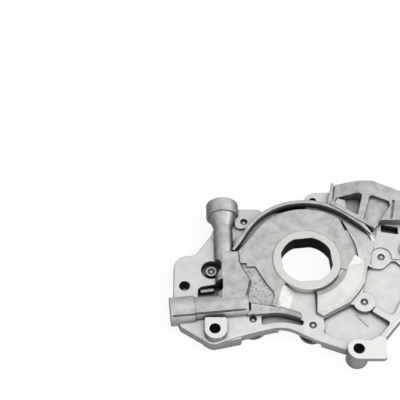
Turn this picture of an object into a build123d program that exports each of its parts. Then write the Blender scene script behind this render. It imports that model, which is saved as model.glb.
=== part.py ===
# Engine oil pump: a crankshaft-driven gerotor pump that bolts to the front of an engine block.
# Frame: Z is the crankshaft axis, Z = 0 is the block's machined face and +Z points away from the
# engine. X and Y lie in that face. Millimetres.
import os
from math import atan2, cos, degrees, pi, radians, sin

from build123d import *

os.makedirs("parts", exist_ok=True)

# ---------------------------------------------------------------- driving dimensions
# Levels above the block face
cover_rear = 0.4          # rear of the cover plate, clear of the block
cover_seat = 3.6          # machined rear face of the casting, where the cover plate seats
flange_top = 12.6         # front of the general flange
rough_top = 16.6          # as-cast area between the two tubes
gallery_pad_top = 21.0    # flat laid over the lower end of the gallery tube
plateau_top = 18.2        # flat front of the outlet side of the rotor housing
dish_floor = 15.4         # bottom of the dish round the rotor nose, on the inlet side
boss_top = 19.1           # seats of the raised mounting bosses, rim rail and rotor nose
neck_top = 20.0           # front of the inlet neck
groove_floor = 12.4       # cored groove between the rotor housing and the rim rail
fork_floor = 15.0         # its branch across the rotor housing
slot_floor = 8.0
pocket_floor = 8.2        # lightening pocket at the lower right
side_floor = 10.5         # shallow pocket at the right
window_floor = 4.6
lug_thickness = 4.5
cover_radius = 59.0
rail_width = 2.8
hook_slope = 0.33         # fall of the rail's hooked end
spot_face_radius = 8.5    # round the cover screw at the right
pocket_boss_radius = 8.7  # boss of the cover screw at the lower pocket
stub_radius = 4.3         # boss of the cover screw beside the gallery tube, in a round recess
stub_top = 10.3
stub_recess_radius = 8.2
stub_recess_floor = 5.5

# Gerotor
outer_lobes = 9
inner_lobes = outer_lobes - 1
eccentricity = 3.2
lobe_circle = 42.0        # radius on which the outer rotor's lobe centres lie
lobe_radius = 8.5
mesh_clearance = 0.08
root_circle = lobe_circle - lobe_radius + 2 * eccentricity + 0.4
outer_rotor_radius = 44.4
pocket_clearance = 0.06
pocket_roof = 10.9
rotor_end_gap = 0.05
port_inner_radius = 31.0  # kidney ports in the pocket's roof
port_outer_radius = 42.0
inlet_port_roof = 13.2
outlet_port_roof = 15.2
inlet_port_angles = (-75, 38)
outlet_port_angles = (100, 226)
centre_angle = radians(75)  # direction of the outer rotor's centre from the crank axis
centre = (eccentricity * cos(centre_angle), eccentricity * sin(centre_angle))
nose_radius = 27.4
nose_clearance = 0.05
drive_bore_radius = 21.2
drive_flat = 20.0         # distance of the four drive flats from the axis
flat_width = 14.0
flat_turn = 6             # the flats' angle to the frame, degrees
root_fillet = 1.0
crank_clearance_radius = 23.0

# Screws and mounting holes
screw_radius = 2.95       # M6
screw_hole_radius = 3.0
screw_head_radius = 5.6
screw_head_height = 2.7
screw_gap = 0.05          # between a screw's head and its countersink
mount_hole_radius = 4.4   # clearance for an M8 bolt
mount_holes = [(-97.9, -20.8), (-74.0, -62.2), (36.2, -79.5), (85.0, 12.0)]
# cover screw: x, y, level of its tip, radius of the cover plate's lobe round it
cover_screws_at = [
    (-49.7, 38.4, 12.8, 8.5),
    (8.0, 60.5, 10.8, 8.0),
    (60.6, 6.0, 12.3, 8.5),
    (44.1, -35.3, 12.3, 8.5),
    (2.6, -55.9, 12.3, 10.8),
    (-44.1, -50.6, 10.8, 12.0),
    (-76.6, -6.2, 9.9, 7.5),
]
dowels_at = [(54.0, -17.0), (-56.0, 14.0)]
dowel_radius = 2.5
dowel_gap = 0.02
dowel_top = 9.0

# Relief valve, in the tube that runs across the lower left
relief_end = Vector(-109.3, -44.1, 11.5)
relief_inner = Vector(-48.0, -38.0, 11.5)
relief_tube_radius = 10.0
relief_end_radius = 11.4
relief_end_length = 19.5
relief_bore_radius = 7.0
relief_bore_length = 40.0
feed_radius = 4.0         # drilling from the relief bore to the outlet port
feed_length = 51.0
piston_clearance = 0.04
piston_length = 15.0
piston_wall = 1.6
piston_crown = 2.0
plug_radius = 8.0         # M16, in a wider mouth of the bore
plug_length = 8.0
plug_recess = 1.0
plug_key = 3.6            # its hexagon socket, centre to corner
plug_seal_width = 1.4
spring_radius = 4.15      # to the middle of the wire
spring_wire = 1.6
spring_turns = 8

# Gallery tube, up the left side
gallery_end = Vector(-67.5, 55.5, 13.3)
gallery_foot = Vector(-65.2, -37.0, 13.3)
gallery_bore_foot = Vector(-62.0, -39.0, 11.5)
gallery_end_radius = 13.25
gallery_end_length = 12.5
gallery_neck_length = 10.0
gallery_tube_radius = 7.7
gallery_bore_radius = 3.6
cup_radius = 9.0
cup_depth = 6.0
cup_wall = 1.2
cup_recess = 1.5
outlet_at = (-66.2, 26.0)        # outlet to the block, in the rear face
outlet_radius = 5.0
outlet_pad_radius = 10.0
outlet_seal_radius = 7.4         # to the middle of the ring

# Inlet neck, at the upper right; its slanted face takes the pickup tube
inlet_face = Vector(72.8, 68.9, 9.5)
inlet_outward = Vector(0.426, 0.905, 0)
inlet_radius = 7.5
inlet_socket_depth = 12.0
inlet_turn = Vector(48.0, 33.0, 8.6)
passage_width = 12.0
passage_height = 7.2
inlet_screw_offset = 20.0        # along the face, towards +X
inlet_screw_depth = 11.0
seal_wire = 2.0
inlet_seal_depth = 4.0           # from the face to the middle of the ring

# ---------------------------------------------------------------- outlines in the XY plane
# Each corner is (x, y, corner radius).
flange_outline = [
    (-106.9, 7.2, 12), (-89.5, 7.8, 7), (-74.0, 31.0, 4), (-70.0, 46.0, 5), (-56.0, 50.0, 3),
    (-34.0, 46.5, 2), (-20.0, 49.0, 20), (1.5, 53.0, 1), (1.5, 64.5, 5), (8.0, 68.6, 4),
    (30.0, 69.6, 1), (84.0, 62.0, 3), (94.8, 22.0, 10), (94.8, 0.0, 10), (82.0, -14.0, 8),
    (76.0, -46.0, 9), (58.0, -68.0, 4), (28.0, -77.5, 4), (3.5, -68.6, 14), (-19.5, -56.4, 26),
    (-40.0, -61.4, 30), (-58.0, -66.5, 30), (-76.0, -73.4, 9), (-101.0, -57.0, 3),
    (-106.9, -44.0, 5),
]
screw_ear = [(-57, 50.3, 1), (-36.5, 50.3, 3), (-34.0, 46.0, 1), (-45.0, 33.0, 8), (-57, 31, 4)]
foot_pad = [(-84.5, -55.5, 3), (-84.0, -67.0, 5), (-76.0, -71.8, 8), (-52.5, -66.6, 2),
            (-54.0, -61.0, 2), (-60.0, -56.0, 2)]
left_pad = [(-106.9, -8.0, 9), (-88.5, -8.0, 8), (-88.5, -33.0, 6), (-106.9, -33.0, 6)]
bolt_pad = [(-82.0, -52.4, 2), (-64.6, -52.4, 2), (-64.6, -70.8, 8.2), (-82.0, -70.8, 8.2)]
lug_arm = [(36.2, -88.3, 1), (57.8, -88.3, 3), (57.8, -68.6, 3), (52.5, -68.6, 2),
           (46.0, -72.3, 4), (33.0, -71.3, 2)]
# Rotor housing: the flat outlet side, the sloping inlet side and what joins them
plateau_outline = [
    (0, 0, 0), (31.0, -9.0, 0), (39.2, 4.6, 0), (36.8, 15.0, 30), (32.0, 28.0, 30),
    (27.0, 42.5, 0), (24.0, 60.0, 0), (-60.0, 60.0, 0), (-60.0, -3.0, 0), (-51.0, -6.4, 0),
    (-41.5, -6.0, 2), (-33.0, -21.4, 20), (-27.5, -29.0, 0), (-25.3, -42.0, 0),
    (-20.5, -24.5, 0),
]
plateau_tail = [(-38.5, 29.5, 0), (-47.5, 17.0, 6), (-55.6, 7.4, 0), (-54.0, -3.0, 0),
                (-35.0, -3.0, 0)]
inlet_side = [
    (0, 0, 0), (5.5, -20.0, 0), (5.5, -46.5, 0), (11.2, -49.6, 0), (33.0, -37.2, 0),
    (46.6, -20.5, 55), (52.3, 2.0, 80), (58.6, 27.5, 1), (52.0, 26.0, 0), (30.0, 41.5, 0),
    (31.4, 37.0, 0), (34.8, 28.0, 30), (39.6, 14.6, 30), (40.8, 4.6, 0), (30.0, -6.0, 0),
]
rough_area = [
    (-64.0, -44.0, 0), (-49.0, -45.6, 0), (-24.8, -43.0, 0), (-26.5, -24.0, 0), (-38.0, -3.0, 0),
    (-48.0, -3.0, 0), (-50.0, 9.0, 0), (-64.0, 9.0, 0),
]
fork_bridge = [(31.4, 27.0, 0), (35.9, 15.0, 0), (38.4, 3.4, 0), (41.8, 3.4, 0), (40.8, 14.8, 0),
               (35.8, 30.0, 0), (31.4, 30.0, 0)]
gallery_pad = [
    (-70.8, -39.0, 0), (-49.0, -39.0, 0), (-46.6, -31.0, 0), (-44.0, -19.0, 0), (-49.0, -10.0, 0),
    (-52.1, -3.2, 0), (-52.8, 8.6, 0), (-71.0, 8.6, 0),
]
rail_foot = [(-48.6, -36.0, 0), (-48.6, -48.3, 0), (-24.0, -46.6, 30), (-5.0, -52.6, 2),
             (-7.0, -46.0, 1.5), (-25.0, -40.0, 0)]
# Cored and machined recesses
slot_outline = [(-37.6, -56.3, 2), (-23.5, -52.2, 40), (-4.3, -56.6, 2.1), (-4.6, -51.9, 2.1),
                (-23.8, -46.0, 36), (-37.6, -47.8, 1.5)]
pocket_outline = [(10.9, -50.2, 0.8), (33.2, -37.4, 0.8), (53.0, -39.5, 0.8),
                  (49.5, -43.6, 1.5), (63.8, -53.6, 2.5), (54.6, -64.8, 2),
                  (47.0, -72.0, 3), (28.4, -70.6, 2), (10.1, -62.6, 1.5), (12.0, -57.0, 4)]
side_outline = [(49.0, -3.5, 0), (60.2, -5.9, 7), (70.2, 3.4, 3), (74.5, -0.8, 3),
                (79.0, -6.0, 4), (76.5, -28.0, 6), (65.4, -48.6, 4), (53.2, -39.6, 0.8),
                (43.5, -26.5, 0.8)]
dark_window = [(62.3, 29.4, 1), (76.2, 27.0, 1), (76.6, 34.5, 1), (62.8, 37.2, 1)]
rear_undercut = [(-24.0, -52.8, 1), (-8.0, -58.6, 3), (2.6, -62.6, 3), (9.0, -62.6, 1),
                 (9.0, -76.0, 0), (-24.0, -66.0, 0)]
left_window = [(-87.6, -31.0, 1.5), (-87.2, -23.6, 2), (-84.6, -21.4, 1.5), (-67.4, -18.4, 1),
               (-67.4, -28.5, 2), (-74.0, -31.0, 2)]
window_bar = [(-85.4, -25.0, 1.2), (-74.2, -23.6, 1.2), (-74.4, -20.9, 1.2), (-85.4, -22.3, 1.2)]
# Inlet neck
neck_outline = [(24.0, 75.9, 1), (57.8, 75.9, 6), (97.5, 57.2, 4), (97.0, 40.0, 8),
                (86.0, 27.0, 3), (61.0, 30.5, 2), (47.0, 30.0, 1), (19.0, 52.0, 1)]
neck_block = [(27.0, 75.9, 1), (57.8, 75.9, 6), (97.5, 57.2, 4), (94.0, 37.0, 4),
              (62.0, 37.0, 1.5), (55.5, 29.5, 0), (44.0, 37.0, 0), (21.5, 53.0, 1)]
neck_wall = [(23.9, 75.9, 0.5), (26.4, 75.9, 0.5), (22.6, 54.0, 0), (19.4, 54.0, 0)]
neck_flute = [(73.2, 57.0, 1), (75.2, 56.2, 0.8), (71.4, 37.6, 0.8), (69.6, 38.4, 0.8)]
dark_pocket = [(27.6, 62.8, 1), (45.0, 64.4, 4), (48.8, 62.5, 2.5), (43.6, 41.6, 1),
               (24.6, 55.0, 1)]
rear_pocket_left = [(28.5, 72.0, 2), (52.0, 72.0, 2), (52.0, 60.0, 3), (42.0, 50.0, 3),
                    (31.0, 57.0, 3)]
rear_pocket_right = [(80.0, 52.0, 2), (92.0, 51.0, 3), (92.5, 40.0, 4), (85.0, 31.5, 2),
                     (80.5, 33.0, 2)]
right_flat = [(59.0, 31.0, 1), (76.0, 28.0, 1), (94.5, 24.0, 1), (94.5, 3.0, 1), (70.0, 3.4, 0.5),
              (67.0, 6.0, 0), (53.5, 6.0, 0)]
diagonal_rib = [(37.0, -45.0, 0.3), (37.9, -44.4, 0.3), (46.8, -54.6, 0.3), (45.9, -55.3, 0.3)]
inlet_link = [(53.0, 26.5, 0), (58.0, 30.0, 0), (46.0, 41.0, 0), (37.0, 31.0, 0), (33.0, 17.0, 0),
              (43.0, 13.0, 0)]
light_pocket = [(54.6, 61.0, 2), (57.0, 61.4, 2), (70.2, 55.6, 2.5), (70.8, 51.0, 2),
                (62.6, 38.4, 0.5), (57.0, 30.0, 0.5), (47.8, 38.0, 1)]
core_block = [(26.4, 58.6, 1), (28.8, 62.6, 0.5), (34.8, 60.6, 2.2), (35.6, 50.6, 2),
              (30.0, 48.6, 1), (25.4, 54.0, 1)]


def along(start, end, distance):
    # The point at a distance from start towards end.
    return start + (end - start).normalized() * distance


def tube_plane(start, end, distance=0.0):
    # A plane across the axis from start to end, facing end.
    direction = end - start
    return Plane(
        origin=along(start, end, distance),
        x_dir=Vector(0, 0, 1),
        z_dir=direction,
    )


def inner_profile_point(t):
    # Equidistant of the epitrochoid that the outer rotor's lobe centres trace.
    radius = lobe_radius + mesh_clearance
    turn = (1 - outer_lobes) * t
    lean = atan2(sin(turn), lobe_circle / (eccentricity * outer_lobes) - cos(turn))
    x = lobe_circle * cos(t) - radius * cos(t + lean) - eccentricity * cos(outer_lobes * t)
    y = -lobe_circle * sin(t) + radius * sin(t + lean) + eccentricity * sin(outer_lobes * t)
    return (x, y)


# ---------------------------------------------------------------- die-cast housing
with BuildPart() as pump_housing:
    with BuildSketch(Plane.XY.offset(cover_seat)):
        with BuildLine():
            FilletPolyline(
                *[c[:2] for c in flange_outline], radius=[c[2] for c in flange_outline], close=True
            )
        make_face()
    extrude(amount=flange_top - cover_seat)
    fillet(edges().group_by(Axis.Z)[-1], radius=1.2)

    # Inlet side of the rotor housing: its top falls away as a shallow cone, dished round the nose
    for low, high, draft in ((6.0, flange_top, 0), (flange_top, plateau_top, 14)):
        with BuildSketch(Plane.XY.offset(low)):
            with BuildLine():
                FilletPolyline(
                    *[c[:2] for c in inlet_side], radius=[c[2] for c in inlet_side], close=True
                )
            make_face()
        extrude(amount=high - low, taper=draft)
    with BuildSketch(Plane((0, 0, 0), x_dir=(0, -1, 0), z_dir=(-1, 0, 0))):
        with BuildLine():
            Polyline(
                (0, dish_floor), (nose_radius, dish_floor), (33.5, plateau_top), (50.0, 14.8),
                (66.0, 12.8), (66.0, 26.0), (0, 26.0), close=True,
            )
        make_face()
    revolve(axis=Axis.Z, revolution_arc=145, mode=Mode.SUBTRACT)

    # Upright features: outline, lower level, upper level and draft in degrees. First the feet that
    # reach the block, then what stands on the flange.
    upright = [
        (foot_pad, 0.0, flange_top - 1.5, 0),
        (left_pad, 0.0, flange_top - 1.5, 0),
        (neck_outline, 0.0, flange_top - 1.0, 0),
        (right_flat, flange_top - 3, flange_top + 0.9, 0),
        (screw_ear, flange_top - 3, 14.6, 0),
        (rough_area, flange_top - 3, rough_top, 4),
        (gallery_pad, rough_top - 1, gallery_pad_top, 25),
        (rail_foot, flange_top - 3, 15.4, 0),
        (rail_foot, 15.4, plateau_top, 48),
        (bolt_pad, flange_top - 2, boss_top, 0),
        (lug_arm, boss_top - lug_thickness, boss_top, 0),
        (fork_bridge, flange_top - 1, fork_floor, 0),
    ]
    for corners, low, high, draft in upright:
        with BuildSketch(Plane.XY.offset(low)):
            with BuildLine():
                FilletPolyline(
                    *[c[:2] for c in corners], radius=[c[2] for c in corners], close=True
                )
            make_face()
        extrude(amount=high - low, taper=draft)

    # Flat outlet side: the part of a 48.5 mm disc that the outline keeps, and its tail
    with BuildSketch(Plane.XY.offset(6.0)):
        Circle(48.5)
        with BuildLine():
            FilletPolyline(
                *[c[:2] for c in plateau_outline],
                radius=[c[2] for c in plateau_outline], close=True,
            )
        make_face(mode=Mode.INTERSECT)
        with BuildLine():
            FilletPolyline(
                *[c[:2] for c in plateau_tail], radius=[c[2] for c in plateau_tail], close=True
            )
        make_face()
    extrude(amount=plateau_top - 6.0)

    # Ramps from the outlet side down to its neighbours: the flat over the sealing land, the cone,
    # and the dish round the nose. Head, foot, level of the foot, width
    ramps = [
        (Vector(-22.5, -32.4, 0), Vector(-13.5, -35.2, 0), flange_top, 21),
        (Vector(35.3, -1.6, 0), Vector(49.0, -9.9, 0), 13.6, 15.5),
        (Vector(30.3, -3.7, 0), Vector(25.9, -16.2, 0), dish_floor, 6.6),
    ]
    for head, foot, low, width in ramps:
        run = foot - head
        across = Plane(head, x_dir=run, z_dir=run.cross(Vector(0, 0, 1))).offset(-width / 2)
        with BuildSketch(across):
            with BuildLine():
                Polyline(
                    (-4, 10), (-4, plateau_top), (0, plateau_top), (run.length, low),
                    (run.length, 10), close=True,
                )
            make_face()
        extrude(amount=width)

    # Rim rail: a bowed wall along the upper edge, straight at both ends
    with BuildSketch(Plane.XY.offset(cover_seat)):
        with BuildLine():
            bow = CenterArc((0, 0.5), 55.0, 51, 99)
            PolarLine(bow @ 1, 22, direction=bow % 1)
            straight = PolarLine(bow @ 0, 16, direction=-(bow % 0))
        trace(line_width=rail_width)
    extrude(amount=boss_top - cover_seat)
    # Its right end hooks round and sinks into the cone
    with BuildSketch(Plane.XY.offset(cover_seat)):
        with BuildLine():
            hook = JernArc(straight @ 1, straight % 1, radius=24, arc_size=-38)
        trace(line_width=rail_width)
    hook_wall = extrude(amount=boss_top - cover_seat, mode=Mode.PRIVATE)
    fall = (hook @ 1 - hook @ 0).normalized() * hook_slope
    hook_top = Plane(hook @ 0 + Vector(0, 0, boss_top), z_dir=fall + Vector(0, 0, 1))
    add(split(hook_wall, bisect_by=hook_top, keep=Keep.BOTTOM, mode=Mode.PRIVATE))

    # Relief valve tube and gallery tube, each with a thicker end
    with BuildSketch(tube_plane(relief_end, relief_inner)):
        Circle(relief_end_radius)
    extrude(amount=relief_end_length)
    fillet(edges(Select.LAST).filter_by(GeomType.CIRCLE).group_by(Axis.X)[0], radius=1.0)
    with BuildSketch(tube_plane(relief_end, relief_inner, relief_end_length - 1)):
        Circle(relief_tube_radius)
    extrude(amount=(relief_inner - relief_end).length - relief_end_length + 1)
    with BuildSketch(tube_plane(gallery_end, gallery_foot)):
        Circle(gallery_end_radius)
    extrude(amount=gallery_end_length)
    fillet(edges(Select.LAST).filter_by(GeomType.CIRCLE).group_by(Axis.Y)[-1], radius=1.5)
    with BuildSketch(tube_plane(gallery_end, gallery_foot, gallery_end_length)):
        Circle(gallery_end_radius - 1.8)
    with BuildSketch(
        tube_plane(gallery_end, gallery_foot, gallery_end_length + gallery_neck_length)
    ):
        Circle(gallery_tube_radius)
    loft()
    with BuildSketch(tube_plane(gallery_end, gallery_foot, gallery_end_length)):
        Circle(gallery_tube_radius)
    extrude(amount=(gallery_foot - gallery_end).length - gallery_end_length)

    # Feet that stand on the block: the post at the lower right, the boss at the far right and
    # the pad round the outlet
    feet = [
        (mount_holes[2], 8.7, boss_top),
        (mount_holes[3], 9.5, 15.0),
        (outlet_at, outlet_pad_radius, gallery_end.Z),
    ]
    for (x, y), radius, high in feet:
        with BuildSketch():
            with Locations((x, y)):
                Circle(radius)
        extrude(amount=high)
        fillet(edges(Select.LAST).filter_by(GeomType.CIRCLE).group_by(Axis.Z)[0], radius=1.0)

    # Inlet neck: a block whose left half slopes down, and a thin wall at that end
    for corners, low, high in (
        (neck_block, flange_top - 2, neck_top),
        (neck_wall, flange_top - 2, 16.0),
    ):
        with BuildSketch(Plane.XY.offset(low)):
            with BuildLine():
                FilletPolyline(
                    *[c[:2] for c in corners], radius=[c[2] for c in corners], close=True
                )
            make_face()
        extrude(amount=high - low)
        if corners is neck_block:
            with BuildSketch(Plane.XZ.offset(-90)):
                with BuildLine():
                    Polyline(
                        (47, neck_top + 0.2), (25, 12.6), (10, 12.6), (10, 30), (47, 30), close=True
                    )
                make_face()
            extrude(amount=34, mode=Mode.SUBTRACT)

    # Cored grooves beside the rim rail: along the rotor housing, and the two spikes of the fork
    groove_tail = [(-41.0, 31.5), (-57.9, 8.9), (-55.6, 7.4), (-47.5, 17.0), (-38.5, 29.5)]
    fork_right = [(26.0, 47.0), (34.3, 41.6), (53.6, 26.0), (52.0, 24.8), (36.5, 35.0), (28.0, 38.0)]
    fork_left = [(26.6, 42.6), (31.4, 40.5), (31.6, 36.0), (34.8, 28.0), (39.6, 14.6), (40.8, 4.6),
                 (39.4, 4.6), (36.8, 15.0), (32.0, 28.0)]
    with BuildSketch(Plane.XY.offset(groove_floor)):
        with BuildLine():
            outer_arc = CenterArc((0, 0.5), 53.6, 51, 99)
            inner_arc = CenterArc((0, 0), 48.5, 54, 93)
            Line(outer_arc @ 0, inner_arc @ 0)
            Line(outer_arc @ 1, inner_arc @ 1)
        make_face()
        with BuildLine():
            Polyline(*groove_tail, close=True)
        make_face()
    extrude(amount=boss_top, mode=Mode.SUBTRACT)
    with BuildSketch(Plane.XY.offset(fork_floor)):
        for corners in (fork_right, fork_left):
            with BuildLine():
                Polyline(*corners, close=True)
            make_face()
    extrude(amount=boss_top, mode=Mode.SUBTRACT)

    # Pockets, slot, windows and the edge of the cover's seat: outline and floor level
    recesses = [
        (slot_outline, slot_floor),
        (pocket_outline, pocket_floor),
        (side_outline, side_floor),
        (dark_window, window_floor),
        (left_window, window_floor),
        (dark_pocket, 8.5),
        (light_pocket, 16.4),
        (neck_flute, 18.6),
    ]
    for corners, floor in recesses:
        with BuildSketch(Plane.XY.offset(floor)):
            with BuildLine():
                FilletPolyline(
                    *[c[:2] for c in corners], radius=[c[2] for c in corners], close=True
                )
            make_face()
        extrude(amount=boss_top + 8 - floor, mode=Mode.SUBTRACT)

    # What stands in the recesses: outline, lower level, upper level
    standing = [
        (core_block, 8.0, 13.5),
        (window_bar, window_floor - 0.5, 9.0),
        (diagonal_rib, pocket_floor - 0.5, 8.8),
    ]
    for corners, low, high in standing:
        with BuildSketch(Plane.XY.offset(low)):
            with BuildLine():
                FilletPolyline(
                    *[c[:2] for c in corners], radius=[c[2] for c in corners], close=True
                )
            make_face()
        extrude(amount=high - low)

    # Screw bosses: a spot face in the raised flat at the right, the boss in the wall of the
    # lower pocket, and a stub in a round recess at the left
    with BuildSketch(Plane.XY.offset(flange_top - 0.1)):
        with Locations(cover_screws_at[2][:2]):
            Circle(spot_face_radius)
    extrude(amount=boss_top, mode=Mode.SUBTRACT)
    with BuildSketch(Plane.XY.offset(cover_seat)):
        with Locations(cover_screws_at[3][:2]):
            Circle(pocket_boss_radius)
    extrude(amount=flange_top - cover_seat)
    with BuildSketch(Plane.XY.offset(stub_recess_floor)):
        with Locations(cover_screws_at[6][:2]):
            Circle(stub_recess_radius)
            Circle(stub_radius, mode=Mode.SUBTRACT)
    extrude(amount=boss_top, mode=Mode.SUBTRACT)
    with BuildSketch(Plane.XY.offset(stub_top)):
        with Locations(cover_screws_at[6][:2]):
            Circle(stub_recess_radius)
    extrude(amount=boss_top, mode=Mode.SUBTRACT)

    # Rear: nothing reaches below the seat inside the cover plate's edge
    with BuildSketch():
        with Locations(centre):
            Circle(cover_radius + 0.8)
        with Locations((-42, -41)):
            Rectangle(42, 29)
    extrude(amount=cover_seat, mode=Mode.SUBTRACT)

    # Cored from the rear: two pockets under the neck, and the lower edge of the flange
    for corners, floor in (
        (rear_pocket_left, 5.2), (rear_pocket_right, 9.0), (rear_undercut, 7.4),
    ):
        with BuildSketch():
            with BuildLine():
                FilletPolyline(
                    *[c[:2] for c in corners], radius=[c[2] for c in corners], close=True
                )
            make_face()
        extrude(amount=floor, mode=Mode.SUBTRACT)

    # Rotor pocket, nose bore and kidney ports
    with BuildSketch(Plane.XY.offset(cover_seat)):
        with Locations(centre):
            Circle(outer_rotor_radius + pocket_clearance)
    extrude(amount=pocket_roof - cover_seat, mode=Mode.SUBTRACT)
    with BuildSketch(Plane.XY.offset(pocket_roof)):
        Circle(nose_radius + nose_clearance)
    extrude(amount=boss_top, mode=Mode.SUBTRACT)
    ports = [
        (inlet_port_angles, inlet_port_roof),
        (outlet_port_angles, outlet_port_roof),
    ]
    for (first, last), roof in ports:
        with BuildSketch(Plane.XY.offset(pocket_roof)):
            with BuildLine():
                outside = CenterArc((0, 0), port_outer_radius, first, last - first)
                inside = CenterArc((0, 0), port_inner_radius, first, last - first)
                Line(outside @ 0, inside @ 0)
                Line(outside @ 1, inside @ 1)
            make_face()
            fillet(vertices(), radius=2.5)
        extrude(amount=roof - pocket_roof, mode=Mode.SUBTRACT)

    # Inlet: socket for the pickup tube with its seal groove, and the passage to the inlet port
    inlet_plane = Plane(origin=inlet_face, x_dir=Vector(0, 0, 1), z_dir=inlet_outward * -1)
    with BuildSketch(inlet_plane.offset(-5)):
        Circle(inlet_radius)
    extrude(amount=inlet_socket_depth + 5, mode=Mode.SUBTRACT)
    with BuildSketch(inlet_plane.offset(inlet_seal_depth - seal_wire / 2 - 0.1)):
        Circle(inlet_radius + seal_wire + 0.15)
    extrude(amount=seal_wire + 0.2, mode=Mode.SUBTRACT)
    socket_end = inlet_face - inlet_outward * (inlet_socket_depth - 2)
    with BuildSketch(tube_plane(Vector(socket_end.X, socket_end.Y, inlet_turn.Z), inlet_turn)):
        SlotOverall(passage_width, passage_height, rotation=90)
    extrude(
        amount=(Vector(socket_end.X, socket_end.Y, inlet_turn.Z) - inlet_turn).length,
        mode=Mode.SUBTRACT,
    )
    with BuildSketch(Plane.XY.offset(inlet_turn.Z - passage_height / 2)):
        with BuildLine():
            Polyline(*[c[:2] for c in inlet_link], close=True)
        make_face()
    extrude(amount=passage_height, mode=Mode.SUBTRACT)
    inlet_screw = inlet_face + Vector(inlet_outward.Y, -inlet_outward.X, 0) * inlet_screw_offset
    with BuildSketch(Plane(origin=inlet_screw, z_dir=inlet_outward * -1).offset(-5)):
        Circle(screw_hole_radius)
    extrude(amount=inlet_screw_depth + 5, mode=Mode.SUBTRACT)

    # Relief valve bore with a wider mouth for its plug, and the feed from the outlet port
    with BuildSketch(tube_plane(relief_end, relief_inner)):
        Circle(relief_bore_radius)
    extrude(amount=relief_bore_length, mode=Mode.SUBTRACT)
    with BuildSketch(tube_plane(relief_end, relief_inner)):
        Circle(plug_radius)
    extrude(amount=plug_recess + plug_length + plug_seal_width, mode=Mode.SUBTRACT)
    with BuildSketch(tube_plane(relief_end, relief_inner, relief_bore_length - 1)):
        Circle(feed_radius)
    extrude(amount=feed_length, mode=Mode.SUBTRACT)
    # Spill port from the relief bore into the left window
    with BuildSketch(Plane.XZ.offset(24)):
        with Locations((-75.5, 9.5)):
            SlotOverall(7.0, 5.0)
    extrude(amount=16, mode=Mode.SUBTRACT)

    # Gallery bore with a wider mouth for its cup plug, and the outlet in the rear face
    with BuildSketch(tube_plane(gallery_end, gallery_bore_foot)):
        Circle(gallery_bore_radius)
    extrude(amount=(gallery_bore_foot - gallery_end).length, mode=Mode.SUBTRACT)
    with BuildSketch(tube_plane(gallery_end, gallery_foot)):
        Circle(cup_radius)
    extrude(amount=cup_recess + cup_depth + 1.5, mode=Mode.SUBTRACT)
    with BuildSketch():
        with Locations(outlet_at):
            Circle(outlet_radius)
    extrude(amount=gallery_end.Z - 3.0, mode=Mode.SUBTRACT)
    with BuildSketch():
        with Locations(outlet_at):
            Circle(outlet_seal_radius + seal_wire / 2 + 0.1)
            Circle(outlet_seal_radius - seal_wire / 2 - 0.1, mode=Mode.SUBTRACT)
    extrude(amount=seal_wire, mode=Mode.SUBTRACT)

    # Screw holes, dowel holes and mounting holes
    with BuildSketch(Plane.XY.offset(cover_seat)):
        with Locations([s[:2] for s in cover_screws_at]):
            Circle(screw_hole_radius)
    extrude(amount=boss_top, mode=Mode.SUBTRACT)
    with BuildSketch(Plane.XY.offset(cover_seat)):
        with Locations(dowels_at):
            Circle(dowel_radius + dowel_gap)
    extrude(amount=dowel_top + 0.3 - cover_seat, mode=Mode.SUBTRACT)
    with BuildSketch():
        with Locations(mount_holes):
            Circle(mount_hole_radius)
    extrude(amount=boss_top + 1, mode=Mode.SUBTRACT)

pump_housing.part.label = "pump_housing"
export_step(pump_housing.part, "parts/pump_housing.step")

# ---------------------------------------------------------------- rear cover plate
with BuildPart() as cover_plate:
    with BuildSketch(Plane.XY.offset(cover_rear)):
        with Locations(centre):
            Circle(cover_radius)
        for x, y, _, lobe in cover_screws_at:
            with Locations((x, y)):
                Circle(lobe)
        # Straight flanks between the far lobes and the disc
        for x, y, _, lobe in (cover_screws_at[5], cover_screws_at[6]):
            away = Vector(x, y, 0).normalized()
            aside = Vector(-away.Y, away.X, 0)
            with BuildLine():
                Polyline(
                    Vector(x, y, 0) + aside * lobe,
                    Vector(x, y, 0) - aside * lobe,
                    away * 50 - aside * (lobe + 8),
                    away * 50 + aside * (lobe + 8),
                    close=True,
                )
            make_face()
        Circle(crank_clearance_radius, mode=Mode.SUBTRACT)
        with Locations(dowels_at):
            Circle(dowel_radius + dowel_gap, mode=Mode.SUBTRACT)
    extrude(amount=cover_seat - cover_rear)
    with Locations([(s[0], s[1], cover_rear) for s in cover_screws_at]):
        Cone(
            screw_head_radius + screw_gap, screw_hole_radius,
            screw_head_height, align=(Align.CENTER, Align.CENTER, Align.MIN),
            mode=Mode.SUBTRACT,
        )
        Cylinder(
            screw_hole_radius, cover_seat, align=(Align.CENTER, Align.CENTER, Align.MIN),
            mode=Mode.SUBTRACT,
        )

cover_plate.part.label = "cover_plate"
export_step(cover_plate.part, "parts/cover_plate.step")

# ---------------------------------------------------------------- cover screws: M6 countersunk
with BuildPart() as cover_screws:
    for x, y, tip, _ in cover_screws_at:
        with BuildSketch(Plane((x, y, 0), x_dir=(1, 0, 0), z_dir=(0, -1, 0))):
            with BuildLine():
                Polyline(
                    (0, cover_rear + 0.1), (screw_head_radius - 0.15, cover_rear + 0.1),
                    (screw_radius, cover_rear + screw_head_height), (screw_radius, tip - 0.8),
                    (screw_radius - 0.8, tip), (0, tip), close=True,
                )
            make_face()
        revolve(axis=Axis((x, y, 0), (0, 0, 1)))
        with BuildSketch(Plane.XY.offset(cover_rear)):
            with Locations((x, y)):
                RegularPolygon(2.3, 6)
        extrude(amount=2.2, mode=Mode.SUBTRACT)

cover_screws.part.label = "cover_screws"
export_step(cover_screws.part, "parts/cover_screws.step")

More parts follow.
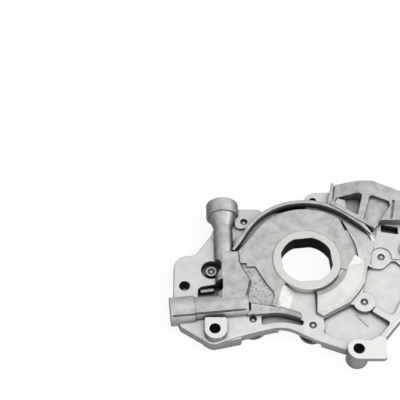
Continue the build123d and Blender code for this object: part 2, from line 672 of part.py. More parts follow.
# ---------------------------------------------------------------- cover dowels
with BuildPart() as cover_dowels:
    with BuildSketch(Plane.XY.offset(cover_rear + 0.3)):
        with Locations(dowels_at):
            Circle(dowel_radius)
    extrude(amount=dowel_top - cover_rear - 0.3)
    chamfer(edges(), length=0.4)

cover_dowels.part.label = "cover_dowels"
export_step(cover_dowels.part, "parts/cover_dowels.step")

# ---------------------------------------------------------------- inner rotor
with BuildPart() as inner_rotor:
    with BuildSketch(Plane.XY.offset(cover_seat + rotor_end_gap)):
        with BuildLine(Plane.XY.rotated((0, 0, 180 + degrees(centre_angle)))):
            steps = 20 * inner_lobes
            Spline(*[inner_profile_point(2 * pi * n / steps) for n in range(steps)], periodic=True)
        make_face()
    extrude(amount=pocket_roof - cover_seat - 2 * rotor_end_gap)
    with BuildSketch(Plane.XY.offset(cover_seat + rotor_end_gap)):
        Circle(nose_radius)
    extrude(amount=boss_top - cover_seat - rotor_end_gap)
    chamfer(edges().group_by(Axis.Z)[-1], length=0.6)
    # Drive bore: round, with four flats that ride on the crankshaft's own flats
    with BuildSketch(Plane.XY.offset(cover_seat)):
        Circle(drive_bore_radius)
        with PolarLocations(drive_flat + 2, 4, start_angle=flat_turn):
            Rectangle(4, flat_width + 2, mode=Mode.SUBTRACT)
    extrude(amount=boss_top, mode=Mode.SUBTRACT)

inner_rotor.part.label = "inner_rotor"
export_step(inner_rotor.part, "parts/inner_rotor.step")

# ---------------------------------------------------------------- outer rotor
with BuildPart() as outer_rotor:
    with BuildSketch(Plane.XY.offset(cover_seat + rotor_end_gap)):
        with Locations(Location((*centre, 0), (0, 0, 180 + degrees(centre_angle)))):
            Circle(outer_rotor_radius)
            Circle(root_circle, mode=Mode.SUBTRACT)
            with PolarLocations(lobe_circle, outer_lobes):
                Circle(lobe_radius)
        # The lobes' outer parts lie beyond the ring
        with Locations(centre):
            Circle(outer_rotor_radius, mode=Mode.INTERSECT)
        inner_corners = [
            v for v in vertices()
            if (v.center() - Vector(*centre, v.Z)).length < root_circle + 0.1
        ]
        fillet(inner_corners, radius=root_fillet)
    extrude(amount=pocket_roof - cover_seat - 2 * rotor_end_gap)

outer_rotor.part.label = "outer_rotor"
export_step(outer_rotor.part, "parts/outer_rotor.step")

# ---------------------------------------------------------------- relief valve
# Each piece is turned about the valve's axis, which runs inwards from the open end
valve_axis = Axis(relief_end, relief_inner - relief_end)
valve_plane = Plane(origin=relief_end, x_dir=relief_inner - relief_end, z_dir=(0, 0, 1))
piston_radius = relief_bore_radius - piston_clearance
piston_back = relief_bore_length - piston_length
with BuildPart() as relief_piston:
    with BuildSketch(valve_plane):
        with BuildLine():
            Polyline(
                (piston_back, piston_radius - piston_wall), (piston_back, piston_radius),
                (piston_back + 5, piston_radius), (piston_back + 5, piston_radius - 0.6),
                (piston_back + 6.2, piston_radius - 0.6), (piston_back + 6.2, piston_radius),
                (relief_bore_length - 0.7, piston_radius),
                (relief_bore_length, piston_radius - 0.7), (relief_bore_length, 0),
                (relief_bore_length - piston_crown, 0),
                (relief_bore_length - piston_crown, piston_radius - piston_wall),
                close=True,
            )
        make_face()
    revolve(axis=valve_axis)

relief_piston.part.label = "relief_piston"
export_step(relief_piston.part, "parts/relief_piston.step")

plug_inner_end = plug_recess + plug_length
with BuildPart() as relief_plug:
    with BuildSketch(tube_plane(relief_end, relief_inner, plug_recess)):
        Circle(plug_radius - 0.05)
    extrude(amount=plug_length)
    chamfer(edges(), length=0.6)
    with BuildSketch(tube_plane(relief_end, relief_inner, plug_recess)):
        RegularPolygon(plug_key, 6)
    extrude(amount=plug_length - 3.0, mode=Mode.SUBTRACT)

relief_plug.part.label = "relief_plug"
export_step(relief_plug.part, "parts/relief_plug.step")

with BuildPart() as relief_plug_seal:
    with BuildSketch(tube_plane(relief_end, relief_inner, plug_inner_end)):
        Circle(plug_radius - 0.05)
        Circle(plug_radius - 2.2, mode=Mode.SUBTRACT)
    extrude(amount=plug_seal_width)

relief_plug_seal.part.label = "relief_plug_seal"
export_step(relief_plug_seal.part, "parts/relief_plug_seal.step")

# The spring bears on the plug through the washer's hole and on the inside of the piston's crown
spring_start = plug_inner_end + spring_wire / 2 + 0.05
spring_end = relief_bore_length - piston_crown - spring_wire / 2 - 0.05
with BuildPart() as relief_spring:
    with BuildLine():
        coil = Helix(
            pitch=(spring_end - spring_start) / spring_turns,
            height=spring_end - spring_start,
            radius=spring_radius,
            center=along(relief_end, relief_inner, spring_start),
            direction=relief_inner - relief_end,
        )
    with BuildSketch(Plane(origin=coil @ 0, z_dir=coil % 0)):
        Circle(spring_wire / 2)
    sweep(is_frenet=True)

relief_spring.part.label = "relief_spring"
export_step(relief_spring.part, "parts/relief_spring.step")

# ---------------------------------------------------------------- cup plug of the gallery
with BuildPart() as gallery_plug:
    with BuildSketch(tube_plane(gallery_end, gallery_foot, cup_recess)):
        Circle(cup_radius - 0.02)
    extrude(amount=cup_depth)
    fillet(edges().group_by(Axis.Y)[0], radius=1.4)
    with BuildSketch(tube_plane(gallery_end, gallery_foot, cup_recess)):
        Circle(cup_radius - cup_wall)
    extrude(amount=cup_depth - cup_wall, mode=Mode.SUBTRACT)

gallery_plug.part.label = "gallery_plug"
export_step(gallery_plug.part, "parts/gallery_plug.step")

# ---------------------------------------------------------------- rubber seals
with BuildPart() as inlet_seal:
    with BuildSketch(
        Plane(
            origin=inlet_face - inlet_outward * inlet_seal_depth,
            x_dir=(0, 0, 1), z_dir=Vector(0, 0, 1).cross(inlet_outward),
        )
    ):
        with Locations((inlet_radius + seal_wire / 2 + 0.05, 0)):
            Circle(seal_wire / 2)
    revolve(axis=Axis(inlet_face, inlet_outward))

inlet_seal.part.label = "inlet_seal"
export_step(inlet_seal.part, "parts/inlet_seal.step")

with BuildPart() as outlet_seal:
    with BuildSketch(Plane.XZ.offset(-outlet_at[1])):
        with Locations((outlet_at[0] + outlet_seal_radius, seal_wire / 2)):
            Circle(seal_wire / 2 - 0.02)
    revolve(axis=Axis((*outlet_at, 0), (0, 0, 1)))

outlet_seal.part.label = "outlet_seal"
export_step(outlet_seal.part, "parts/outlet_seal.step")
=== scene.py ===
import bpy
import numpy as np
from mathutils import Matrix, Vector


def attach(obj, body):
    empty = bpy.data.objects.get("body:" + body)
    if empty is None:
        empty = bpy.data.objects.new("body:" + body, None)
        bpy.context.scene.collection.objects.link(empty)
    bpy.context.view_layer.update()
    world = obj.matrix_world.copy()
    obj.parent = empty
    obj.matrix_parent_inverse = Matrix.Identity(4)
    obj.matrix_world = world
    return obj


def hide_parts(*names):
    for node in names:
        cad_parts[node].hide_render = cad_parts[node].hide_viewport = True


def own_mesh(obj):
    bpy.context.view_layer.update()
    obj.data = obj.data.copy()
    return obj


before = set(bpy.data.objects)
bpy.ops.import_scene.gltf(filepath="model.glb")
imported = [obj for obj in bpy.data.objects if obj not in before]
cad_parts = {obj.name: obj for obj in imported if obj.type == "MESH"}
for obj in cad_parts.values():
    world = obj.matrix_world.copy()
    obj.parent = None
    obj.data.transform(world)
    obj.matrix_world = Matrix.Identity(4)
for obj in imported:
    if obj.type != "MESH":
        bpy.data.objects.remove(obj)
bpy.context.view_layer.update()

mm = 0.001
patternRoughness = 0.6    # how much the finer lumps of every noise pattern count


# sRGB hex to linear: each channel is value/12.92 up to 0.04045, else ((value + 0.055)/1.055)^2.4
def linearColour(hexText):
    channels = [int(hexText[i:i + 2], 16) / 255 for i in (1, 3, 5)]
    linear = [c / 12.92 if c <= 0.04045 else ((c + 0.055) / 1.055) ** 2.4 for c in channels]
    return (*linear, 1.0)


# adds one node with its settings; every other value is linked to the input of its name if it is a
# socket and set there if not, and i3 means input number 3
def addNode(tree, kind, settings=None, **values):
    node = tree.nodes.new(kind)
    for name, value in (settings or {}).items():
        setattr(node, name, value)
    for name, value in values.items():
        numbered = name[0] == "i" and name[1:].isdigit()
        socket = node.inputs[int(name[1:]) if numbered else name]
        if isinstance(value, bpy.types.NodeSocket):
            tree.links.new(value, socket)
        else:
            socket.default_value = value
    return node


# an empty material and its nodes
def newMaterial(name):
    material = bpy.data.materials.new(name)
    material.use_nodes = True
    material.node_tree.nodes.clear()
    return material, material.node_tree


# all values multiplied together
def product(tree, *values):
    result = values[0]
    for value in values[1:]:
        result = addNode(
            tree, "ShaderNodeMath", {"operation": "MULTIPLY"}, i0=result, i1=value
        ).outputs[0]
    return result


# 1 where low < value < high, else 0
def bandMask(tree, value, low, high):
    over = addNode(tree, "ShaderNodeMath", {"operation": "GREATER_THAN"}, i0=value, i1=low)
    under = addNode(tree, "ShaderNodeMath", {"operation": "LESS_THAN"}, i0=value, i1=high)
    return product(tree, over.outputs[0], under.outputs[0])


# 1 between the two limits along every axis that is given, else 0
def boxMask(tree, axes, limitsMm):
    return product(tree, *(
        bandMask(tree, axes[axis], low * mm, high * mm) for axis, (low, high) in limitsMm.items()
    ))


# 1 where the distance in XY to any of the points is under the radius, else 0
def discMask(tree, place, pointsMm, radiusMm):
    flat = addNode(
        tree, "ShaderNodeVectorMath", {"operation": "MULTIPLY"}, i0=place, i1=(1, 1, 0)
    ).outputs[0]
    mask = 0.0
    for x, y in pointsMm:
        away = addNode(
            tree, "ShaderNodeVectorMath", {"operation": "DISTANCE"},
            i0=flat, i1=(x * mm, y * mm, 0),
        ).outputs["Value"]
        near = addNode(
            tree, "ShaderNodeMath", {"operation": "LESS_THAN"}, i0=away, i1=radiusMm * mm
        ).outputs[0]
        mask = addNode(
            tree, "ShaderNodeMath", {"operation": "MAXIMUM"}, i0=mask, i1=near
        ).outputs[0]
    return mask


# lays colours over a first one, each in turn: colour = below + share * (layer - below)
def layered(tree, colour, layers):
    for share, layer in layers:
        colour = addNode(
            tree, "ShaderNodeMix", {"data_type": "RGBA"},
            i0=share, i6=colour, i7=linearColour(layer),
        ).outputs[2]
    return colour


# 1 where the eye or a mirror image looks straight at the background: the three kinds of ray added
def backgroundRay(tree):
    path = addNode(tree, "ShaderNodeLightPath").outputs
    seen = 0.0
    for ray in ("Is Camera Ray", "Is Glossy Ray", "Is Transmission Ray"):
        seen = addNode(
            tree, "ShaderNodeMath", {"operation": "ADD", "use_clamp": True}, i0=seen, i1=path[ray]
        ).outputs[0]
    return seen


# die-cast aluminium: satin grey with a flow mottle and a blasted grain, edges rounded by the die,
# painted shade in its corners, recesses, bolt holes and on its walls, a painted highlight on the
# bowl's slopes; faces cut after casting are brighter
castSettings = {
    "skin": "#AFAFAD",
    "skinDark": "#90908E",
    "skinLow": "#CECECC",              # paler below 13 mm height, fading out by 16 mm
    "lowShare": 0.55,
    "paintedBowlHighlight": "#C0C0BE",              # painted highlight on sloping faces in the bowl
    "paintedBowlHighlightShare": 0.5,
    "paintedBowlHighlightSlope": (0.80, 0.985),     # upward part of the face's direction, 1 on a level face
    "paintedBowlHighlightRadiusMm": 46.0,
    "paintedWallShade": "#747473",             # painted shade: walls, facing sideways, a darker grey
    "paintedFlankShade": "#2A2A29",            # painted shade, darker still, on walls facing left or right
    "paintedFlankShadeShare": 0.8,
    "recess": "#191919",               # painted shade in corners and recesses, where little open sky is found
    "cut": "#C3C3C1",                  # the seats milled at one level round two mounting holes
    "cutMm": {"Z": (19.0, 19.2), "Y": (-92.0, -50.0)},
    "cutUp": 0.99,
    "porous": "#5E5E5C",               # the porous patch between the tubes
    "porousShare": 0.7,
    "porousMm": {"X": (-56, -22), "Y": (-46, 4), "Z": (16.0, 18.1)},
    # painted shade: the walls of the bolt holes near black
    "paintedHoleShade": "#141414",
    "paintedHoleShadeUp": 0.5,
    "boltHolesMm": ((-97.9, -20.8), (-74.0, -62.2), (36.2, -79.5), (85.0, 12.0)),
    "boltRadiusMm": 4.7,
    # size of a lump in mm, and detail; the real grain is about 0.2 mm and is drawn coarser to show
    "patterns": {"mottle": (9.0, 6.0), "grain": (0.7, 2.0), "pits": (2.4, 3.0)},
    # how far round a point open sky is looked for, for the painted shade: whole recesses, and the
    # last bit of a corner
    "openMm": {"wide": 15.0, "corner": 3.0},
    "openSamples": 8,
    # each share is 0 at its first limit and 1 at its second
    "limits": {
        "mottle": (0.30, 0.62),
        "pits": (0.53, 0.62),
        "low": (0.016, 0.013),         # height in metres
        "wall": (0.80, 0.10),          # upward part of the direction
        "flank": (0.45, 0.95),         # sideways part of the direction
        "floor": (0.5, 0.95),
        "open": (0.10, 0.78),          # share of open sky
        "openFloor": (0.08, 0.62),     # floors get less painted shade than walls
        "openCorner": (0.20, 0.80),
    },
    "metallic": 0.5,
    "roughness": 0.44,
    "cutRoughness": 0.40,
    "edgeMm": 0.9,
    "edgeSamples": 6,
    "bump": 0.24,
    "cutBump": 0.03,
    "bumpMm": 0.3,
}


# colour = the darker skin with nine layers over it, each by its share; height = grain, or pits
# in the porous patch
def castAluminium():
    s = castSettings
    material, tree = newMaterial("dieCastAluminium")
    place = addNode(tree, "ShaderNodeTexCoord").outputs["Object"]
    axes = addNode(tree, "ShaderNodeSeparateXYZ", i0=place).outputs
    surface = addNode(tree, "ShaderNodeNewGeometry").outputs
    up = addNode(tree, "ShaderNodeSeparateXYZ", i0=surface["True Normal"]).outputs["Z"]
    facing = addNode(tree, "ShaderNodeSeparateXYZ", i0=surface["Normal"]).outputs
    upright, sideways = (
        addNode(tree, "ShaderNodeMath", {"operation": "ABSOLUTE"}, i0=facing[axis]).outputs[0]
        for axis in ("Z", "X")
    )
    pattern = {
        name: addNode(
            tree, "ShaderNodeTexNoise", None, Vector=place, Scale=1 / (size * mm), Detail=detail,
            Roughness=patternRoughness,
        ).outputs[0]
        for name, (size, detail) in s["patterns"].items()
    }
    sky = {
        name: addNode(
            tree, "ShaderNodeAmbientOcclusion", {"samples": s["openSamples"]}, Distance=reach * mm
        ).outputs["AO"]
        for name, reach in s["openMm"].items()
    }
    measured = {
        "mottle": pattern["mottle"], "pits": pattern["pits"], "low": axes["Z"], "wall": upright,
        "flank": sideways, "floor": facing["Z"], "open": sky["wide"], "openFloor": sky["wide"],
        "openCorner": sky["corner"],
    }
    share = {
        name: addNode(
            tree, "ShaderNodeMapRange", None,
            i0=value, i1=s["limits"][name][0], i2=s["limits"][name][1],
        ).outputs[0]
        for name, value in measured.items()
    }
    level = addNode(tree, "ShaderNodeMath", {"operation": "GREATER_THAN"}, i0=up, i1=s["cutUp"])
    cut = product(tree, level.outputs[0], boxMask(tree, axes, s["cutMm"]))
    patch = boxMask(tree, axes, s["porousMm"])
    # painted highlight: sloping faces within a radius of the crank axis
    bowlHighlightMask = product(
        tree, discMask(tree, place, ((0, 0),), s["paintedBowlHighlightRadiusMm"]),
        bandMask(tree, up, *s["paintedBowlHighlightSlope"]),
    )
    # painted shade on the steep walls inside the bolt holes
    steep = addNode(tree, "ShaderNodeMath", {"operation": "LESS_THAN"}, i0=up, i1=s["paintedHoleShadeUp"])
    holeShadeMask = product(
        tree, discMask(tree, place, s["boltHolesMm"], s["boltRadiusMm"]), steep.outputs[0]
    )
    # painted shade: the less open sky round a point, the more the recess colour covers it
    openSkyShare = addNode(
        tree, "ShaderNodeMix", None, i0=share["floor"], i2=share["open"], i3=share["openFloor"]
    ).outputs[0]
    unshadedShare = product(tree, openSkyShare, share["openCorner"])
    paintedShadeShare = addNode(tree, "ShaderNodeMath", {"operation": "SUBTRACT"}, i0=1.0, i1=unshadedShare)
    # painted light among these layers: the bowl's painted highlight, and painted shade on walls,
    # side flanks, recesses and bolt holes
    skin = layered(tree, linearColour(s["skinDark"]), (
        (share["mottle"], s["skin"]),
        (product(tree, share["low"], s["lowShare"]), s["skinLow"]),
        (product(tree, bowlHighlightMask, s["paintedBowlHighlightShare"]), s["paintedBowlHighlight"]),
        (share["wall"], s["paintedWallShade"]),
        (cut, s["cut"]),
        (product(tree, share["pits"], patch, s["porousShare"]), s["porous"]),
        (product(tree, share["flank"], s["paintedFlankShadeShare"]), s["paintedFlankShade"]),
        (paintedShadeShare.outputs[0], s["recess"]),
        (holeShadeMask, s["paintedHoleShade"]),
    ))
    roughness, strength, height = (
        addNode(tree, "ShaderNodeMix", None, i0=mask, i2=first, i3=second).outputs[0]
        for mask, first, second in (
            (cut, s["roughness"], s["cutRoughness"]),
            (cut, s["bump"], s["cutBump"]),
            (patch, pattern["grain"], pattern["pits"]),
        )
    )
    rounded = addNode(
        tree, "ShaderNodeBevel", {"samples": s["edgeSamples"]}, Radius=s["edgeMm"] * mm
    ).outputs[0]
    bump = addNode(
        tree, "ShaderNodeBump", None, Strength=strength, Distance=s["bumpMm"] * mm, Height=height,
        Normal=rounded,
    ).outputs[0]
    shader = addNode(
        tree, "ShaderNodeBsdfPrincipled", None, Metallic=s["metallic"], Roughness=roughness,
        Normal=bump, **{"Base Color": skin},
    )
    addNode(tree, "ShaderNodeOutputMaterial", None, Surface=shader.outputs[0])
    return material


# the same casting where the die halves meet: a dark strip, lighter where the wear pattern rises
flashSettings = {
    "dark": "#2E2E2D",
    "rubbed": "#5A5A58",
    "wearMm": 3.0,
    "wearDetail": 3.0,
    "wearLimits": (0.35, 0.65),
    "metallic": 0.5,
    "roughness": 0.5,
    "bump": 0.2,
    "bumpMm": 0.2,
}


# colour = dark + wear * (rubbed - dark), with the same wear as height
def trimmedFlash():
    s = flashSettings
    material, tree = newMaterial("trimmedFlashAluminium")
    place = addNode(tree, "ShaderNodeTexCoord").outputs["Object"]
    wear = addNode(
        tree, "ShaderNodeTexNoise", None, Vector=place, Scale=1 / (s["wearMm"] * mm),
        Detail=s["wearDetail"], Roughness=patternRoughness,
    ).outputs[0]
    worn = addNode(
        tree, "ShaderNodeMapRange", None, i0=wear, i1=s["wearLimits"][0], i2=s["wearLimits"][1]
    ).outputs[0]
    skin = layered(tree, linearColour(s["dark"]), ((worn, s["rubbed"]),))
    bump = addNode(
        tree, "ShaderNodeBump", None, Strength=s["bump"], Distance=s["bumpMm"] * mm, Height=wear
    ).outputs[0]
    shader = addNode(
        tree, "ShaderNodeBsdfPrincipled", None, Metallic=s["metallic"], Roughness=s["roughness"],
        Normal=bump, **{"Base Color": skin},
    )
    addNode(tree, "ShaderNodeOutputMaterial", None, Surface=shader.outputs[0])
    return material


# steels, each named for how its surface was made, and one for painted shade; real tool marks are
# finer than marksMm and are drawn coarser to show
steelSettings = {
    # surface-ground plate under a film of oil: dark grey
    "groundSteel": {"colour": "#4E4E50", "roughness": 0.42, "marksMm": 0.25, "edgeMm": 0.15},
    # pressed and sintered powder: pale and matt, with painted shade near black on the drive bore's
    # wall
    "sinteredSteel": {
        "colour": "#BDBCB9", "roughness": 0.36, "marksMm": 0.4, "edgeMm": 0.3,
        "boreMm": 21.4, "boreTopMm": 18.4, "paintedBoreShade": "#0E0E0E", "boreRoughness": 0.8,
    },
    # zinc plate: mid grey with a soft shine
    "zincPlatedSteel": {"colour": "#8E8E90", "roughness": 0.36, "marksMm": 0.5, "edgeMm": 0.15},
    # a turned screw end, bare and bright, and a dark ring of painted shade round it
    "turnedSteel": {"colour": "#B2B2B4", "roughness": 0.35, "marksMm": 0.5, "edgeMm": 0.05},
    "paintedShadeRingSteel": {"colour": "#4C4C4E", "roughness": 0.35, "marksMm": 0.5, "edgeMm": 0.05},
    # cold-drawn spring wire: dark and smooth
    "drawnSteelWire": {"colour": "#5E5E61", "roughness": 0.40, "marksMm": 0.5, "edgeMm": 0.05},
}
steelCommon = {
    "metallic": 0.7,
    "markDark": 0.88,      # the marks' colour as a share of the steel's
    "markDetail": 2.0,
    "edgeSamples": 4,
    "bump": 0.06,
    "bumpMm": 0.1,
}


# colour = darker steel + marks * (steel - darker steel), and painted shade, near black, inside the
# bore's radius
def steel(name):
    s = {**steelCommon, **steelSettings[name]}
    material, tree = newMaterial(name)
    place = addNode(tree, "ShaderNodeTexCoord").outputs["Object"]
    marks = addNode(
        tree, "ShaderNodeTexNoise", None, Vector=place, Scale=1 / (s["marksMm"] * mm),
        Detail=s["markDetail"], Roughness=patternRoughness,
    ).outputs[0]
    colour = linearColour(s["colour"])
    darker = (*(c * s["markDark"] for c in colour[:3]), 1.0)
    finish = layered(tree, darker, ((marks, s["colour"]),))
    metallic, roughness = s["metallic"], s["roughness"]
    # painted shade: the drive bore's wall near black
    if "boreMm" in s:
        axes = addNode(tree, "ShaderNodeSeparateXYZ", i0=place).outputs
        boreShadeMask = product(
            tree, discMask(tree, place, ((0, 0),), s["boreMm"]),
            boxMask(tree, axes, {"Z": (0.0, s["boreTopMm"])}),
        )
        finish = layered(tree, finish, ((boreShadeMask, s["paintedBoreShade"]),))
        metallic, roughness = (
            addNode(tree, "ShaderNodeMix", None, i0=boreShadeMask, i2=outside, i3=inside).outputs[0]
            for outside, inside in ((metallic, 1.0), (roughness, s["boreRoughness"]))
        )
    rounded = addNode(
        tree, "ShaderNodeBevel", {"samples": s["edgeSamples"]}, Radius=s["edgeMm"] * mm
    ).outputs[0]
    bump = addNode(
        tree, "ShaderNodeBump", None, Strength=s["bump"], Distance=s["bumpMm"] * mm, Height=marks,
        Normal=rounded,
    ).outputs[0]
    shader = addNode(
        tree, "ShaderNodeBsdfPrincipled", None, Metallic=metallic, Roughness=roughness,
        Normal=bump, **{"Base Color": finish},
    )
    addNode(tree, "ShaderNodeOutputMaterial", None, Surface=shader.outputs[0])
    return material


# nitrile rubber, moulded: matt black
rubberSettings = {"colour": "#161617", "roughness": 0.7, "ior": 1.52}


def nitrileRubber():
    s = rubberSettings
    material, tree = newMaterial("nitrileRubber")
    shader = addNode(
        tree, "ShaderNodeBsdfPrincipled", None, Roughness=s["roughness"], IOR=s["ior"],
        **{"Base Color": linearColour(s["colour"])},
    )
    addNode(tree, "ShaderNodeOutputMaterial", None, Surface=shader.outputs[0])
    return material


materials = {name: steel(name) for name in steelSettings}
materials["cast"] = castAluminium()
materials["rubber"] = nitrileRubber()
materials["flash"] = trimmedFlash()
finishes = {
    "pump_housing": "cast",
    "cover_plate": "groundSteel",
    "cover_screws": "zincPlatedSteel",
    "cover_dowels": "groundSteel",
    "inner_rotor": "sinteredSteel",
    "outer_rotor": "sinteredSteel",
    "relief_piston": "sinteredSteel",
    "relief_spring": "drawnSteelWire",
    "relief_plug": "zincPlatedSteel",
    "relief_plug_seal": "rubber",
    "gallery_plug": "zincPlatedSteel",
    "inlet_seal": "rubber",
    "outlet_seal": "rubber",
}
for nodeName, finish in finishes.items():
    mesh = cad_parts[nodeName].data
    mesh.materials.clear()
    mesh.materials.append(materials[finish])
print("finishes on", len(finishes), "nodes")


# an object at the origin, put into the scene
def newObject(name, data):
    made = bpy.data.objects.new(name, data)
    bpy.context.scene.collection.objects.link(made)
    return made


# a closed skin over rings of points in mm: a four-sided face from each side of a ring to the same
# side of the next, one face over each end, all facing away from the middle ring's mean point
def skinMesh(name, rings, material):
    count, around = rings.shape[:2]
    index = np.arange(count * around).reshape(count, around)
    after = np.roll(index, -1, axis=1)
    faces = np.stack((index[:-1], after[:-1], after[1:], index[1:]), -1).reshape(-1, 4).tolist()
    faces += [index[0][::-1].tolist(), index[-1].tolist()]
    mesh = bpy.data.meshes.new(name)
    mesh.from_pydata((rings.reshape(-1, 3) * mm).tolist(), [], faces)
    mesh.polygons.foreach_set("use_smooth", np.arange(len(faces)) < len(faces) - 2)
    mesh.update()
    middle = count // 2
    probe = mesh.polygons[middle * around + around // 3]
    outward = np.array(probe.center) / mm - rings[middle].mean(axis=0)
    if np.array(probe.normal) @ outward < 0:
        mesh.flip_normals()
    mesh.materials.append(materials[material])
    return mesh


# relief spring: drawn wire with closed ends
springSettings = {
    "fromMm": (-99.498, -43.125, 11.5),   # on the axis, level with the wire's two ends
    "toMm": (-72.333, -40.421, 11.5),
    "fixedMm": (-100.35, -43.2, 11.5),    # the end that stays, on the plug
    "coilMm": 4.15,                       # radius of the wire's middle
    "wireMm": 1.6,
    "turns": 8,
    "closedPitchMm": 1.66,
    "closedTurns": 0.75,                  # at each end
    "easeTurns": 0.5,                     # over which the pitch opens
    "stepsPerTurn": 40,
    "wireSteps": 16,
    "travelMm": 8.0,
}


# a wire wound round an axis: centre = start + axis * height(t) + coil radius * (cos a, sin a),
# a = 2 pi * turns * t, and surface = centre + wire radius * (cos b * outward + sin b * (tangent x
# outward)); the height rises slowly in the end turns
def reliefSpring():
    s = springSettings
    start, end = np.array(s["fromMm"]), np.array(s["toMm"])
    length = np.linalg.norm(end - start)
    axis = (end - start) / length
    up = np.array((0.0, 0.0, 1.0))
    side = np.cross(axis, up)
    turn = np.linspace(0, 1, s["turns"] * s["stepsPerTurn"] + 1) * s["turns"]
    fromEnd = np.minimum(turn, s["turns"] - turn) - s["closedTurns"]
    opening = np.clip(fromEnd, 0, s["easeTurns"]) / s["easeTurns"]
    step = np.diff(turn)
    openTurns = np.sum((opening[1:] + opening[:-1]) / 2 * step)
    extra = (length - s["closedPitchMm"] * s["turns"]) / openTurns
    pitch = s["closedPitchMm"] + opening * extra
    height = np.concatenate(([0], np.cumsum((pitch[1:] + pitch[:-1]) / 2 * step)))
    angle = 2 * np.pi * turn
    outward = np.cos(angle)[:, None] * up + np.sin(angle)[:, None] * side
    centre = start + axis * height[:, None] + s["coilMm"] * outward
    tangent = np.gradient(centre, axis=0)
    tangent /= np.linalg.norm(tangent, axis=1)[:, None]
    binormal = np.cross(tangent, outward)
    b = np.linspace(0, 2 * np.pi, s["wireSteps"], endpoint=False)[None, :, None]
    wire = s["wireMm"] / 2
    rings = centre[:, None] + wire * (np.cos(b) * outward[:, None] + np.sin(b) * binormal[:, None])
    piece = newObject("reliefSpring", skinMesh("reliefSpring", rings, "drawnSteelWire"))
    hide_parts("relief_spring")
    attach(piece, "housing")
    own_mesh(piece)


reliefSpring()
print("relief spring")

# turned tips of the cover screws: a bright pip in a dark ring of painted shade, in the open end of
# each hole
tipSettings = {
    "placesMm": (
        (-76.6, -6.2, 9.9), (-44.1, -50.6, 10.8), (2.6, -55.9, 12.3), (44.1, -35.3, 12.3),
        (60.6, 6.0, 12.3), (8.0, 60.5, 10.8), (-49.7, 38.4, 12.8),
    ),
    "profileMm": (    # radius and height
        (0.0, 0.40), (0.6, 0.40), (0.95, 0.34), (1.2, 0.20), (1.25, 0.04), (1.6, 0.02),
        (2.05, 0.02), (2.12, -0.03), (2.12, -0.3),
    ),
    # painted shade from this radius out
    "shadeRingFromMm": 1.22,
    "steps": 32,
}


# a profile turned round an upright axis: point = place + (r cos a, r sin a, h), for every screw
# at once, with a fan of triangles closing the top and the bottom
def screwTips():
    s = tipSettings
    places, profile = np.array(s["placesMm"]), np.array(s["profileMm"])
    a = np.linspace(0, 2 * np.pi, s["steps"], endpoint=False)
    r, h = profile[1:, 0, None], profile[1:, 1, None]
    ring = np.stack((r * np.cos(a), r * np.sin(a), h + 0 * a), -1).reshape(-1, 3)
    local = np.concatenate(([(0, 0, profile[0, 1])], ring, [(0, 0, profile[-1, 1])]))
    points = (places[:, None] + local[None]).reshape(-1, 3)
    index = 1 + np.arange(len(r) * len(a)).reshape(len(r), len(a))
    after = np.roll(index, -1, axis=1)
    quads = np.stack((index[:-1], index[1:], after[1:], after[:-1]), -1).reshape(-1, 4)
    bottom = np.full_like(index[0], len(local) - 1)
    fans = np.concatenate((
        np.stack((np.zeros_like(index[0]), index[0], after[0]), -1),
        np.stack((bottom, after[-1], index[-1]), -1),
    ))
    shifts = (np.arange(len(places)) * len(local))[:, None, None]
    allQuads = (quads + shifts).reshape(-1, 4).tolist()
    allFans = (fans + shifts).reshape(-1, 3).tolist()
    mesh = bpy.data.meshes.new("coverScrewTips")
    mesh.from_pydata((points * mm).tolist(), [], allQuads + allFans)
    mesh.materials.append(materials["turnedSteel"])
    mesh.materials.append(materials["paintedShadeRingSteel"])
    shadeRing = (profile[1:-1, 0] > s["shadeRingFromMm"]).astype(int)
    slots = np.concatenate((
        np.tile(np.repeat(shadeRing, len(a)), len(places)), np.zeros(len(allFans), dtype=int),
    ))
    mesh.polygons.foreach_set("material_index", slots)
    mesh.polygons.foreach_set("use_smooth", np.ones(len(slots), dtype=bool))
    mesh.update()
    piece = newObject("coverScrewTips", mesh)
    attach(piece, "housing")


screwTips()
print("screw tips", len(tipSettings["placesMm"]))

# parting seams: low ridges that the die halves leave along the two tubes
seamSettings = {
    "reliefSeam": {
        "fromMm": (-108.9, -44.06, 11.5), "toMm": (-48.9, -38.1, 11.5), "radiiMm": (11.38, 9.98),
        "stepMm": 19.5, "leanDegrees": 45, "widthMm": 1.9, "heightMm": 0.42,
    },
    "gallerySeam": {
        "fromMm": (-66.9, 31.0, 13.3), "toMm": (-65.6, -14.0, 13.3), "radiiMm": (7.68, 7.68),
        "stepMm": 2.0, "leanDegrees": -52, "widthMm": 1.4, "heightMm": 0.32,
    },
}
seamCommon = {
    "footMm": 0.4,                   # buried under the tube's skin, with points at footShares
    "footShares": (0.6, 0, -0.6),
    "sinkMm": 0.06,                  # the rim dips under the skin so that no gap shows
    "stepLengthMm": 1.2,             # over which the tube's radius changes
    "taperShare": 24,                # each end tapers over one part in this many
    "taperLeast": 0.02,
    "alongSteps": 97,
    "acrossSteps": 9,
}


